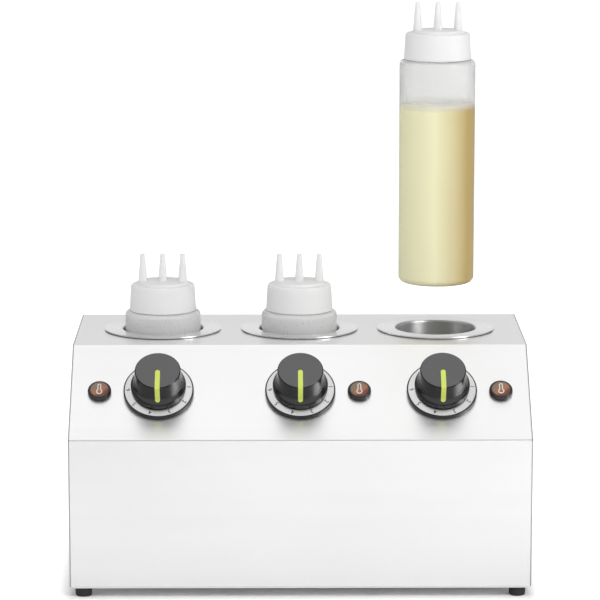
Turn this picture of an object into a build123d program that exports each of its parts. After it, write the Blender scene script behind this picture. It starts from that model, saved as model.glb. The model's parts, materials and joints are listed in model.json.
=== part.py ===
from build123d import *

import os
from math import atan2, cos, sin, sqrt

# A countertop warmer for squeeze bottles of sauce. A folded stainless housing holds three dry wells,
# each with a clamp band heater, a capillary thermostat with knob and dial, and a pilot lamp. Each
# well takes one bottle with a triple-spout cap; the third bottle is held lifted above its well.
#
# Millimetres, +Z up, the front faces -Y, +X is to the right as seen from the front. The origin is on
# the floor, under the middle of the whole outline, which includes the cable gland at the rear.

# ---------------------------------------------------------------- driving dimensions

# Housing, from the underside of the base plate up
BODY_DEPTH = 241.0
BODY_HEIGHT = 208.8
BEND_HEIGHT = 138.0  # height of the fold between the upright front and the control slope
SLOPE_RUN = 86.0  # how far the control slope leans back
SHEET = 1.2
BEND_RADIUS = 2.0  # outer radius of every fold
PUNCH_DEPTH = 4.0  # deep enough for a hole to pass through two sheets
FLANGE = 20.0  # width of the shell's own flanges, folded in at the floor and down at the rear
SIDE_FLANGE = 14.0  # width of the side panels' flanges
BASE_INSET = 1.5  # the base plate's edge lies this far inside the housing's outline
FOLD_GAP = 1.0  # room between one flange's end and the next flange

# Feet
FOOT_HEIGHT = 9.0
FOOT_DIAMETER = 16.0
FOOT_TAPER = 0.7  # how much smaller the foot's radius is at the floor
FOOT_INSET = 12.0  # from the housing's outline to the foot's axis
FOOT_RECESS_RADIUS = 4.6
FOOT_WEB = 3.5  # rubber left between the screw's head and the base plate
FOOT_EDGE_RADIUS = 1.2

# Screws and nuts, all M4
THREAD_RADIUS = 2.0
SCREW_CLEARANCE = 0.1
HEAD_RADIUS = 3.8
HEAD_HEIGHT = 2.4
HEAD_EDGE = 1.1  # height of the head's upright edge
HEAD_CROWN_RADIUS = 8.4
RECESS_WIDTH = 1.0  # the cross recess in a screw's head
RECESS_LENGTH = 4.2
RECESS_DEPTH = 1.3
SCREW_LENGTH = 8.0
NUT_FLATS = 7.0
NUT_HEIGHT = 3.2

# Wells
WELL_PITCH = 129.0
END_MARGIN = 80.5  # from an outer well's axis to the housing's side
WELL_BORE = 75.2
WELL_WALL = 1.0
ROOM_UNDER_WELL = 14.6  # from the base plate up to a well's underside
WELL_FLOOR_RADIUS = 8.0
WELL_LIP_RADIUS = 2.5
WELL_FLANGE_DIAMETER = 110.5
WELL_HOLE_CLEARANCE = 1.5  # between the well and the hole in the top plate
GASKET_THICKNESS = 0.8
STUD_CIRCLE_RADIUS = 46.5
STUDS_PER_WELL = 3
STUD_START_ANGLE = 90.0  # the first stud stands behind its well
STUD_END = 1.5  # how far a stud stands out of its nut

# Heater band, insulation and sensing bulb
BAND_THICKNESS = 3.0
BAND_HEIGHT = 88.0
BAND_UP = 12.0  # from the well's underside to the band's lower edge
BAND_GAP = 10.0
EAR_THICKNESS = 2.0
EAR_REACH = 15.0  # how far the clamp ears stand out of the band
POST_RADIUS = 2.5
POST_LENGTH = 12.0
POST_OFFSET = 15.0  # the terminal posts' distance from the band's gap
SLEEVE_THICKNESS = 8.0
SLEEVE_OVERLAP = 4.0  # the sleeve is this much longer than the band at each end
SLEEVE_OPENING = 46.0
FIT_GAP = 0.1  # between pieces that are slipped over each other and don't turn
BULB_RADIUS = 3.0
BULB_LENGTH = 45.0
BULB_ABOVE_SLEEVE = 18.0
CLIP_THICKNESS = 0.6
CLIP_HEIGHT = 8.0
CAPILLARY_RADIUS = 1.0
CAPILLARY_UP = 10.0  # where it leaves the thermostat, up the slope from the shaft's axis
CAPILLARY_RUN = 12.0  # its straight run behind the thermostat
EAR_HOLE_INSET = 4.0  # from an ear's end to its bolt holes

# Controls on the slope
CONTROL_UP = 55.1  # from the fold to the controls' line, along the slope
LAMP_TO_FLANGE = 0.5  # between an outer lamp's nut and the side panel's flange
KNOB_SKIRT_RADIUS = 25.1
KNOB_FACE_RADIUS = 20.8
KNOB_WAIST_RADIUS = 21.7
KNOB_SKIRT_BOTTOM = 7.3  # all heights here are from the panel's face
KNOB_SKIRT_TOP = 11.3
KNOB_WAIST = 20.0
KNOB_TOP = 32.0
KNOB_WALL = 2.2
KNOB_CHAMFER = 0.9
KNOB_BOSS_RADIUS = 6.0
POINTER_WIDTH = 4.4
POINTER_PROUD = 0.3  # how far the stripe stands out of the knob
POINTER_DEPTH = 0.7  # how deep it is set in
POINTER_END = 0.62  # share of the knob's concave side that the stripe runs down
KNOB_FLARE = 1.2  # how deep the knob's side is hollowed
BEZEL_RADIUS = 32.0
BEZEL_HEIGHT = 4.2
BEZEL_RIM = 1.2
BEZEL_BORE_RADIUS = 19.5
DIAL_RISE = 2.4  # how much higher the dial's inner edge is than its outer edge
DIAL_THICKNESS = 0.8
DIAL_BORE_RADIUS = 21.0
SHAFT_RADIUS = 3.0
SHAFT_FLAT = 0.6  # how much the flat takes off the shaft
SHAFT_TOP = 25.0
SHAFT_DEPTH = 24.0  # how far the shaft reaches into the thermostat
RUNNING_CLEARANCE = 0.05
SHAFT_HOLE_RADIUS = 5.0
BUSHING_RADIUS = 4.6
BUSHING_LENGTH = 2.4
THERMOSTAT_WIDTH = 42.0
THERMOSTAT_LENGTH = 34.0
THERMOSTAT_HEIGHT = 30.0
THERMOSTAT_CORNER_RADIUS = 3.0
THERMOSTAT_SCREWS = 28.0  # distance between its two screws
TAB_WIDTH = 6.3
TAB_THICKNESS = 0.8
TAB_LENGTH = 8.0
LINK_TAB_X = 6.0  # the lamp tabs' distance from the shaft's axis, across and down the slope
LINK_TAB_DOWN = 9.0

# Pilot lamps
LAMP_RIM_RADIUS = 10.7
LAMP_RIM_HEIGHT = 4.6
LAMP_LENS_RADIUS = 8.1
LAMP_LENS_RISE = 1.1
LAMP_LENS_THICKNESS = 2.0
LAMP_BARREL_RADIUS = 7.5
LAMP_BARREL_LENGTH = 20.0
LAMP_RIM_EDGE = 2.2  # radius of the rim's rounded edge
LAMP_TAB_X = 4.0
LAMP_NUT_FLATS = 19.0
LAMP_NUT_HEIGHT = 4.0

# Cable gland and terminal block
GLAND_X = 150.0
GLAND_UP = 40.0  # height of its axis above the base plate
GLAND_THREAD_RADIUS = 8.0
GLAND_BORE_RADIUS = 5.0
GLAND_FLATS = 22.0
GLAND_HEX = 5.0
GLAND_CAP = 16.0
GLAND_CAP_SHOULDER = 12.0  # radius of the cap's cone at half its length
GLAND_CAP_END = 8.0  # radius of the cap's outer end
GLAND_CAP_ROUND = 2.0
GLAND_BARREL = 9.0  # length of thread inside the housing
GLAND_SEAL_RADIUS = 6.4
GLAND_SEAL_LENGTH = 9.0
CABLE_BORE_RADIUS = 3.6
LOCKNUT_HEIGHT = 5.0
BLOCK_WIDTH = 44.0
BLOCK_DEPTH = 22.0
BLOCK_HEIGHT = 16.0
BLOCK_EAR = 10.0
BLOCK_EAR_HEIGHT = 4.0
BLOCK_WAY_PITCH = 12.0
BLOCK_FROM_REAR = 40.0

# Vents
SLOT_LENGTH = 34.0
SLOT_WIDTH = 4.0
SLOT_PITCH = 9.0
SLOT_ROWS = 4
REAR_SLOTS_DOWN = 60.0  # from the top plate to the middle of the rear slots

# Bottles
BOTTLE_DIAMETER = 71.0
BOTTLE_WALL = 1.3
BOTTLE_BODY = 206.0  # from the bottle's underside to where its shoulder starts
BOTTLE_SHOULDER = 4.5
BOTTLE_FOOT_RADIUS = 6.0
SEAT_GAP = 0.3
NECK_RADIUS = 27.6
NECK_TOP_GAP = 0.3
THREAD_PROUD = 1.4
THREAD_UP = 4.0  # from the shoulder to the thread ridge
THREAD_WIDTH = 3.0
HOVER = 237.2  # how far bottle 3 is lifted above its place in the well
SAUCE_DEPTH = 166.0
SAUCE_GAP = 0.1

# Bottle caps
CAP_SKIRT_RADIUS = 31.5
CAP_TOP_RADIUS = 29.9
CAP_HEIGHT = 24.5
CAP_WALL = 1.6
CAP_GAP = 0.5  # between the skirt and the bottle's shoulder
CAP_EDGE_RADIUS = 2.6
BOSS_RADIUS = 23.6
BOSS_HEIGHT = 2.4
SPOUT_PITCH = 18.8
SPOUT_TIP = 27.8  # from the cap's top to the tips
SPOUT_TIP_RADIUS = 2.2
SPOUT_BASE_RADIUS = 4.4
SPOUT_HOLE_RADIUS = 1.1
SPOUT_WALL = 1.3

# Wiring
WIRE_RADIUS = 1.4
WIRE_BEND = 5.0
WIRE_LANES = [4.0, 8.0, 12.0]  # heights above the base plate at which the three circuits run
SUPPLY_APPROACH = 14.0  # straight run of a wire before its tab
HEATER_APPROACH = 30.0
LINK_APPROACH = 13.0
POST_RUN = 9.0  # how far a wire runs back from a heater post before it turns down
RETURN_FROM_REAR = 11.3  # from the housing's rear to where the return leads turn down

# ---------------------------------------------------------------- derived places

BODY_WIDTH = 2 * (WELL_PITCH + END_MARGIN)
Y_FRONT = -(BODY_DEPTH + GLAND_HEX + GLAND_CAP) / 2
Y_REAR = Y_FRONT + BODY_DEPTH
Z_BASE = FOOT_HEIGHT
Z_FLOOR = Z_BASE + SHEET  # the base plate's upper face, where the flanges stand
Z_BEND = Z_BASE + BEND_HEIGHT
Z_TOP = Z_BASE + BODY_HEIGHT
Y_TOP_FRONT = Y_FRONT + SLOPE_RUN
Y_FLANGE = Y_REAR - SHEET  # the rear panel's inner face, where the rear flanges lie
X_INNER = BODY_WIDTH / 2 - SHEET  # inner faces of the side panels

LAMP_NUT_RADIUS = LAMP_NUT_FLATS / sqrt(3)
LAMP_OFFSET = END_MARGIN - SHEET - SIDE_FLANGE - LAMP_TO_FLANGE - LAMP_NUT_RADIUS
WELL_X = [-WELL_PITCH, 0.0, WELL_PITCH]
LINK_SIDE = [-1, 1, 1]  # the side of its knob on which each lamp stands
LAMP_X = [x + side * LAMP_OFFSET for x, side in zip(WELL_X, LINK_SIDE)]
WELL_Y = (Y_TOP_FRONT + Y_REAR) / 2
WELL_RADIUS = WELL_BORE / 2
WELL_OUTER_RADIUS = WELL_RADIUS + WELL_WALL
Z_RIM = Z_TOP + GASKET_THICKNESS + WELL_WALL  # the well flange's top
Z_WELL_FLOOR = Z_FLOOR + ROOM_UNDER_WELL + WELL_WALL

BAND_RADIUS = WELL_OUTER_RADIUS + BAND_THICKNESS
Z_BAND = Z_WELL_FLOOR - WELL_WALL + BAND_UP
SLEEVE_BORE_RADIUS = BAND_RADIUS + FIT_GAP
SLEEVE_RADIUS = SLEEVE_BORE_RADIUS + SLEEVE_THICKNESS
Z_SLEEVE_TOP = Z_BAND + BAND_HEIGHT + SLEEVE_OVERLAP
POST_START = WELL_Y + sqrt(BAND_RADIUS**2 - (POST_OFFSET + POST_RADIUS) ** 2) - BAND_THICKNESS / 2
POST_END = POST_START + POST_LENGTH
BULB_Y = WELL_Y - WELL_OUTER_RADIUS - FIT_GAP - BULB_RADIUS
Z_BULB = Z_SLEEVE_TOP + BULB_ABOVE_SLEEVE

BOTTLE_RADIUS = BOTTLE_DIAMETER / 2
Z_SEAT = Z_WELL_FLOOR + SEAT_GAP
SHOULDER_TOP = BOTTLE_BODY + BOTTLE_SHOULDER
CAP_BOTTOM = SHOULDER_TOP + CAP_GAP
CAP_TOP = CAP_BOTTOM + CAP_HEIGHT
NECK_TOP = CAP_TOP - CAP_WALL - NECK_TOP_GAP
BOTTLE_LIFT = [0.0, 0.0, HOVER]  # how far each bottle stands above its seat

BOLT_REACH = BAND_GAP / 2 + EAR_THICKNESS
BOLT_Y = WELL_Y + WELL_OUTER_RADIUS + EAR_REACH - EAR_HOLE_INSET
BOLT_PLACES = [
    (x, Z_BAND + BAND_HEIGHT / 2 + side * BAND_HEIGHT / 4) for x in WELL_X for side in (-1, 1)
]

REAR_SCREW_X = X_INNER - SIDE_FLANGE / 2
REAR_SCREWS = [
    (side * REAR_SCREW_X, z)
    for side in (-1, 1)
    for z in (Z_FLOOR + FLANGE, (Z_FLOOR + Z_TOP) / 2, Z_TOP - 2 * FLANGE)
] + [(x, Z_TOP - FLANGE / 2) for x in (-WELL_PITCH / 2, WELL_PITCH / 2)]
BASE_SCREWS = [(side * REAR_SCREW_X, (Y_FRONT + Y_REAR) / 2) for side in (-1, 1)] + [
    (x, Y_FRONT + FLANGE / 2) for x in (-WELL_PITCH / 2, WELL_PITCH / 2)
]
FEET = [
    (side * (BODY_WIDTH / 2 - FOOT_INSET), y)
    for side in (-1, 1)
    for y in (Y_FRONT + FOOT_INSET, Y_REAR - FOOT_INSET)
]
BLOCK_POINT = (WELL_PITCH / 2, Y_REAR - BLOCK_FROM_REAR)
BLOCK_SCREWS = [
    (BLOCK_POINT[0] + side * (BLOCK_WIDTH + BLOCK_EAR) / 2, BLOCK_POINT[1]) for side in (-1, 1)
]

# ---------------------------------------------------------------- shared shapes


def save(piece, name):
    """Labels a finished piece and writes it to its own file."""
    piece.part.label = name
    export_step(piece.part, f"parts/{name}.step")


def folded_strip(points):
    """The section of a folded sheet whose outer face follows the points, with the metal to the right."""
    with BuildSketch() as strip:
        with BuildLine():
            FilletPolyline(*points, radius=BEND_RADIUS)
            offset(amount=SHEET, side=Side.RIGHT)
        make_face()
    return strip.sketch


def panel_plane(x, height=0.0):
    """A plane that lies on the control slope at x, lifted off it by height. Its Y runs up the slope."""
    up_slope = Vector(0, SLOPE_RUN, BODY_HEIGHT - BEND_HEIGHT).normalized()
    normal = Vector(0, -up_slope.Z, up_slope.Y)
    origin = Vector(x, Y_FRONT, Z_BEND) + up_slope * CONTROL_UP + normal * height
    return Plane(origin=origin, x_dir=(1, 0, 0), z_dir=normal)


def section_plane(base):
    """The plane through a base plane's axis, with its X along the base's X and its Y along the axis."""
    return Plane(origin=base.origin, x_dir=base.x_dir, z_dir=-base.y_dir)


def axis_of(base):
    return Axis(base.origin, base.z_dir)


def upright(x, y, z=0.0):
    """The section plane of an upright axis at x, y."""
    return section_plane(Plane(origin=(x, y, z)))


def pan_screw(length):
    """A pan-head screw along Z, its head's underside at zero and its thread below."""
    with BuildPart() as screw:
        with BuildSketch(Plane.XZ):
            with BuildLine():
                Polyline((0, -length), (THREAD_RADIUS, -length), (THREAD_RADIUS, 0), (HEAD_RADIUS, 0))
                Line((HEAD_RADIUS, 0), (HEAD_RADIUS, HEAD_EDGE))
                RadiusArc((HEAD_RADIUS, HEAD_EDGE), (0, HEAD_HEIGHT), -HEAD_CROWN_RADIUS)
                Line((0, HEAD_HEIGHT), (0, -length))
            make_face()
        revolve(axis=Axis.Z)
        with BuildSketch(Plane.XY.offset(HEAD_HEIGHT)):
            Rectangle(RECESS_LENGTH, RECESS_WIDTH)
            Rectangle(RECESS_WIDTH, RECESS_LENGTH)
        extrude(amount=-RECESS_DEPTH, mode=Mode.SUBTRACT)
    return screw.part


def hex_nut(flats, height, bore):
    """A hexagon nut along Z, standing on zero, with its top corners bevelled."""
    with BuildPart() as nut:
        with BuildSketch():
            RegularPolygon(radius=flats / 2, side_count=6, major_radius=False)
            Circle(bore, mode=Mode.SUBTRACT)
        extrude(amount=height)
        with BuildSketch(Plane.XZ):
            with BuildLine():
                Polyline((0, 0), (flats, 0), (flats / 2, height), (0, height), close=True)
            make_face()
        revolve(axis=Axis.Z, mode=Mode.INTERSECT)
    return nut.part


M4_SCREW = pan_screw(SCREW_LENGTH)
M4_NUT = hex_nut(NUT_FLATS, NUT_HEIGHT, THREAD_RADIUS + SCREW_CLEARANCE / 2)
SCREW_HOLE_RADIUS = THREAD_RADIUS + SCREW_CLEARANCE

os.makedirs("parts", exist_ok=True)

# ---------------------------------------------------------------- housing

# One sheet makes the upright front, the control slope and the top plate, with a flange folded in
# under the front and another folded down at the rear.
SHELL_PATH = [
    (Y_FRONT + FLANGE, Z_FLOOR),
    (Y_FRONT, Z_FLOOR),
    (Y_FRONT, Z_BEND),
    (Y_TOP_FRONT, Z_TOP),
    (Y_FLANGE, Z_TOP),
    (Y_FLANGE, Z_TOP - FLANGE),
]
with BuildPart() as top_front_shell:
    with BuildSketch(Plane.YZ.offset(-X_INNER)):
        add(folded_strip(SHELL_PATH))
    extrude(amount=2 * X_INNER)
    # well openings and stud holes
    with BuildSketch(Plane.XY.offset(Z_TOP)):
        with Locations(*[(x, WELL_Y) for x in WELL_X]):
            Circle(WELL_OUTER_RADIUS + WELL_HOLE_CLEARANCE)
            with PolarLocations(STUD_CIRCLE_RADIUS, STUDS_PER_WELL, start_angle=STUD_START_ANGLE):
                Circle(SCREW_HOLE_RADIUS)
    extrude(amount=-SHEET, both=True, mode=Mode.SUBTRACT)
    # shaft, screw and lamp holes in the slope
    with BuildSketch(panel_plane(0)):
        with Locations(*[(x, 0) for x in WELL_X]):
            Circle(SHAFT_HOLE_RADIUS)
            with GridLocations(THERMOSTAT_SCREWS, 1, 2, 1):
                Circle(SCREW_HOLE_RADIUS)
        with Locations(*[(x, 0) for x in LAMP_X]):
            Circle(LAMP_BARREL_RADIUS + FIT_GAP)
    extrude(amount=-SHEET, both=True, mode=Mode.SUBTRACT)
    # holes for the screws in both flanges
    with BuildSketch(Plane.XY.offset(Z_FLOOR)):
        with Locations(*BASE_SCREWS, *FEET):
            Circle(SCREW_HOLE_RADIUS)
    extrude(amount=SHEET, both=True, mode=Mode.SUBTRACT)
    with BuildSketch(Plane.XZ.offset(-Y_REAR)):
        with Locations(*REAR_SCREWS):
            Circle(SCREW_HOLE_RADIUS)
    extrude(amount=PUNCH_DEPTH, mode=Mode.SUBTRACT)
save(top_front_shell, "top_front_shell")

# Each side panel is a flat plate with the housing's outline. Its flanges lie inside the front, slope
# and top, and against the rear panel and the base plate.
SIDE_OUTLINE = [
    (Y_FRONT, Z_FLOOR),
    (Y_FRONT, Z_BEND),
    (Y_TOP_FRONT, Z_TOP),
    (Y_FLANGE, Z_TOP),
    (Y_FLANGE, Z_FLOOR),
]
slope_angle = atan2(BODY_HEIGHT - BEND_HEIGHT, SLOPE_RUN)
fold_shift = SHEET * (1 / cos(slope_angle) - sin(slope_angle) / cos(slope_angle))
top_shift = SHEET * (1 - cos(slope_angle)) / sin(slope_angle)
INNER_FRONT = [
    (Y_FRONT + SHEET, Z_FLOOR + SHEET + FOLD_GAP),
    (Y_FRONT + SHEET, Z_BEND - fold_shift),
    (Y_TOP_FRONT + top_shift, Z_TOP - SHEET),
    (Y_FLANGE - SHEET - FOLD_GAP, Z_TOP - SHEET),
]
REAR_AND_FLOOR = [
    (Y_FLANGE, Z_TOP - FLANGE - FOLD_GAP),
    (Y_FLANGE, Z_FLOOR),
    (Y_FRONT + FLANGE + FOLD_GAP, Z_FLOOR),
]
with BuildPart() as right_side_panel:
    with BuildSketch(Plane.YZ.offset(X_INNER)):
        with BuildLine():
            FilletPolyline(*SIDE_OUTLINE, radius=BEND_RADIUS, close=True)
        make_face()
    extrude(amount=SHEET)
    with BuildSketch(Plane.YZ.offset(X_INNER)):
        add(folded_strip(INNER_FRONT))
        add(folded_strip(REAR_AND_FLOOR))
    extrude(amount=-SIDE_FLANGE)
    with BuildSketch(Plane.XY.offset(Z_FLOOR)):
        with Locations(*BASE_SCREWS, *FEET):
            Circle(SCREW_HOLE_RADIUS)
    extrude(amount=SHEET, both=True, mode=Mode.SUBTRACT)
    with BuildSketch(Plane.XZ.offset(-Y_REAR)):
        with Locations(*REAR_SCREWS):
            Circle(SCREW_HOLE_RADIUS)
    extrude(amount=PUNCH_DEPTH, mode=Mode.SUBTRACT)
save(right_side_panel, "right_side_panel")

with BuildPart() as left_side_panel:
    mirror(right_side_panel.part, about=Plane.YZ)
save(left_side_panel, "left_side_panel")

# The rear panel is screwed on over the rear flanges. It has vent slots and the gland's hole.
with BuildPart() as rear_panel:
    with BuildSketch(Plane.XZ.offset(-Y_REAR)):
        with Locations((0, (Z_FLOOR + Z_TOP - BEND_RADIUS) / 2)):
            RectangleRounded(BODY_WIDTH, Z_TOP - BEND_RADIUS - Z_FLOOR, BEND_RADIUS)
        with Locations(*REAR_SCREWS):
            Circle(SCREW_HOLE_RADIUS, mode=Mode.SUBTRACT)
        with Locations((GLAND_X, Z_BASE + GLAND_UP)):
            Circle(GLAND_THREAD_RADIUS + SCREW_CLEARANCE, mode=Mode.SUBTRACT)
        with Locations(*[(x, Z_TOP - REAR_SLOTS_DOWN) for x in WELL_X]):
            with GridLocations(1, SLOT_PITCH, 1, SLOT_ROWS):
                SlotOverall(SLOT_LENGTH, SLOT_WIDTH, mode=Mode.SUBTRACT)
    extrude(amount=SHEET)
save(rear_panel, "rear_panel")

# The base plate closes the housing from below. Its slots let cool air in under each well.
with BuildPart() as base_plate:
    with BuildSketch(Plane.XY.offset(Z_BASE)):
        with Locations((0, (Y_FRONT + Y_REAR) / 2)):
            RectangleRounded(
                BODY_WIDTH - 2 * BASE_INSET, BODY_DEPTH - 2 * BASE_INSET, BEND_RADIUS
            )
        with Locations(*BASE_SCREWS, *FEET, *BLOCK_SCREWS):
            Circle(SCREW_HOLE_RADIUS, mode=Mode.SUBTRACT)
        with Locations(*[(x, Y_TOP_FRONT) for x in WELL_X]):
            with GridLocations(1, SLOT_PITCH, 1, SLOT_ROWS):
                SlotOverall(SLOT_LENGTH, SLOT_WIDTH, mode=Mode.SUBTRACT)
    extrude(amount=SHEET)
save(base_plate, "base_plate")

# ---------------------------------------------------------------- feet and fasteners

with BuildPart() as one_foot:
    with BuildSketch(Plane.XZ):
        with BuildLine():
            Polyline(
                (THREAD_RADIUS + SCREW_CLEARANCE, FOOT_HEIGHT),
                (FOOT_DIAMETER / 2, FOOT_HEIGHT),
                (FOOT_DIAMETER / 2 - FOOT_TAPER, 0),
                (FOOT_RECESS_RADIUS, 0),
                (FOOT_RECESS_RADIUS, FOOT_HEIGHT - FOOT_WEB),
                (THREAD_RADIUS + SCREW_CLEARANCE, FOOT_HEIGHT - FOOT_WEB),
                close=True,
            )
        make_face()
    revolve(axis=Axis.Z)
    outer_edges = one_foot.edges().filter_by(GeomType.CIRCLE).sort_by(SortBy.RADIUS)
    fillet(outer_edges[-2], radius=FOOT_EDGE_RADIUS)
with BuildPart() as rubber_feet:
    with Locations(*FEET):
        add(one_foot.part)
save(rubber_feet, "rubber_feet")

FOOT_SCREW = pan_screw(FOOT_WEB + 2 * SHEET + NUT_HEIGHT + STUD_END)
with BuildPart() as foot_screws:
    with Locations(*[Location((x, y, FOOT_HEIGHT - FOOT_WEB), (180, 0, 0)) for x, y in FEET]):
        add(FOOT_SCREW)
save(foot_screws, "foot_screws")

REAR_SCREW_PLACES = [Location((x, Y_REAR, z), (-90, 0, 0)) for x, z in REAR_SCREWS]
BASE_SCREW_PLACES = [Location((x, y, Z_BASE), (180, 0, 0)) for x, y in BASE_SCREWS]
BLOCK_SCREW_PLACES = [Location((x, y, Z_FLOOR + BLOCK_EAR_HEIGHT)) for x, y in BLOCK_SCREWS]
THERMOSTAT_SCREW_PLACES = [
    panel_plane(x + side * THERMOSTAT_SCREWS / 2).location for x in WELL_X for side in (-1, 1)
]
with BuildPart() as pan_screws:
    with Locations(*REAR_SCREW_PLACES, *BASE_SCREW_PLACES):
        add(M4_SCREW)
    with Locations(*BLOCK_SCREW_PLACES, *THERMOSTAT_SCREW_PLACES):
        add(M4_SCREW)
save(pan_screws, "pan_screws")

# Nuts on the foot screws stand on the flanges, nuts on the well studs hang under the top plate, and
# nuts on the clamp bolts lie against the heater bands' left ears.
with BuildPart() as hex_nuts:
    with Locations(*[(x, y, Z_FLOOR + SHEET) for x, y in FEET]):
        add(M4_NUT)
    for x in WELL_X:
        with Locations(Location((x, WELL_Y, Z_TOP - SHEET - NUT_HEIGHT))):
            with PolarLocations(STUD_CIRCLE_RADIUS, STUDS_PER_WELL, start_angle=STUD_START_ANGLE):
                add(M4_NUT)
    with Locations(*[Location((x - BOLT_REACH, BOLT_Y, z), (0, -90, 0)) for x, z in BOLT_PLACES]):
        add(M4_NUT)
save(hex_nuts, "hex_nuts")

# The clamp bolts draw the ears of the heater bands together.
BAND_BOLT = pan_screw(2 * BOLT_REACH + NUT_HEIGHT + STUD_END)
with BuildPart() as band_bolts:
    with Locations(*[Location((x + BOLT_REACH, BOLT_Y, z), (0, 90, 0)) for x, z in BOLT_PLACES]):
        add(BAND_BOLT)
save(band_bolts, "band_bolts")

# ---------------------------------------------------------------- wells and heaters

STUD_LENGTH = GASKET_THICKNESS + SHEET + NUT_HEIGHT + STUD_END
for number, x in enumerate(WELL_X, start=1):
    well_axis = Axis((x, WELL_Y, 0), (0, 0, 1))

    # A deep-drawn can with a wide flange; three studs are welded under the flange.
    with BuildPart() as well:
        with BuildSketch(upright(x, WELL_Y)):
            with BuildLine():
                FilletPolyline(
                    (0, Z_WELL_FLOOR),
                    (WELL_RADIUS, Z_WELL_FLOOR),
                    (WELL_RADIUS, Z_RIM),
                    (WELL_FLANGE_DIAMETER / 2, Z_RIM),
                    radius=[WELL_FLOOR_RADIUS, WELL_LIP_RADIUS],
                )
                offset(amount=WELL_WALL, side=Side.RIGHT)
            make_face()
        revolve(axis=well_axis)
        with BuildSketch(Plane.XY.offset(Z_RIM - WELL_WALL)):
            with Locations((x, WELL_Y)):
                with PolarLocations(STUD_CIRCLE_RADIUS, STUDS_PER_WELL, start_angle=STUD_START_ANGLE):
                    Circle(THREAD_RADIUS)
        extrude(amount=-STUD_LENGTH)
    save(well, f"well_{number}")

    # A mica clamp band: a ring open at the rear, with two clamp ears and two terminal posts.
    with BuildPart() as heater_band:
        with BuildSketch(Plane.XY.offset(Z_BAND)):
            with Locations((x, WELL_Y)):
                Circle(BAND_RADIUS)
                Circle(WELL_OUTER_RADIUS + FIT_GAP, mode=Mode.SUBTRACT)
            with Locations((x, WELL_Y + WELL_OUTER_RADIUS)):
                Rectangle(BAND_GAP, 2 * EAR_REACH, mode=Mode.SUBTRACT)
            for side in (-1, 1):
                ear_x = x + side * (BAND_GAP + EAR_THICKNESS) / 2
                ear_y = WELL_Y + WELL_OUTER_RADIUS + BAND_THICKNESS / 2
                with Locations((ear_x, ear_y)):
                    Rectangle(EAR_THICKNESS, EAR_REACH, align=(Align.CENTER, Align.MIN))
        extrude(amount=BAND_HEIGHT)
        with BuildSketch(Plane.YZ.offset(x)):
            with Locations((BOLT_Y, Z_BAND + BAND_HEIGHT / 2)):
                with GridLocations(1, BAND_HEIGHT / 2, 1, 2):
                    Circle(SCREW_HOLE_RADIUS)
        extrude(amount=BAND_GAP, both=True, mode=Mode.SUBTRACT)
        with BuildSketch(Plane.XZ.offset(-POST_START)):
            with Locations((x, Z_BAND + BAND_HEIGHT / 2)):
                with GridLocations(2 * POST_OFFSET, 1, 2, 1):
                    Circle(POST_RADIUS)
        extrude(amount=-POST_LENGTH)
        with BuildSketch(Plane.XY.offset(Z_BAND)):
            with Locations((x, WELL_Y)):
                Circle(WELL_OUTER_RADIUS + FIT_GAP)
        extrude(amount=BAND_HEIGHT, mode=Mode.SUBTRACT)
    save(heater_band, f"heater_band_{number}")

    # A glass-fibre sleeve round the band, open at the rear for the ears and posts.
    with BuildPart() as insulation_sleeve:
        with BuildSketch(Plane.XY.offset(Z_BAND - SLEEVE_OVERLAP)):
            with Locations((x, WELL_Y)):
                Circle(SLEEVE_RADIUS)
                Circle(SLEEVE_BORE_RADIUS, mode=Mode.SUBTRACT)
            with Locations((x, WELL_Y + SLEEVE_RADIUS)):
                Rectangle(SLEEVE_OPENING, SLEEVE_RADIUS, mode=Mode.SUBTRACT)
        extrude(amount=BAND_HEIGHT + 2 * SLEEVE_OVERLAP)
    save(insulation_sleeve, f"insulation_sleeve_{number}")

with BuildPart() as well_gaskets:
    with BuildSketch(Plane.XY.offset(Z_TOP)):
        with Locations(*[(x, WELL_Y) for x in WELL_X]):
            Circle(WELL_FLANGE_DIAMETER / 2 - WELL_WALL)
            Circle(WELL_OUTER_RADIUS + WELL_HOLE_CLEARANCE, mode=Mode.SUBTRACT)
            with PolarLocations(STUD_CIRCLE_RADIUS, STUDS_PER_WELL, start_angle=STUD_START_ANGLE):
                Circle(SCREW_HOLE_RADIUS, mode=Mode.SUBTRACT)
    extrude(amount=GASKET_THICKNESS)
save(well_gaskets, "well_gaskets")

# ---------------------------------------------------------------- thermostats, dials and knobs


def belt(x, grow):
    """The outline of a band drawn tight round a well and its bulb, grown by a thickness."""
    with BuildSketch() as outline:
        with Locations((x, WELL_Y)):
            Circle(WELL_OUTER_RADIUS + FIT_GAP + grow)
        with Locations((x, BULB_Y)):
            Circle(BULB_RADIUS + FIT_GAP + grow)
        make_hull()
    return outline.sketch


def knob_side():
    """The knob's concave side, from its waist down to its skirt, as a private arc."""
    waist = Vector(KNOB_WAIST_RADIUS, KNOB_WAIST)
    skirt = Vector(KNOB_SKIRT_RADIUS, KNOB_SKIRT_TOP)
    chord = skirt - waist
    hollow = Vector(chord.Y, -chord.X).normalized() * KNOB_FLARE
    return ThreePointArc(waist, (waist + skirt) / 2 + hollow, skirt, mode=Mode.PRIVATE)


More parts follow.
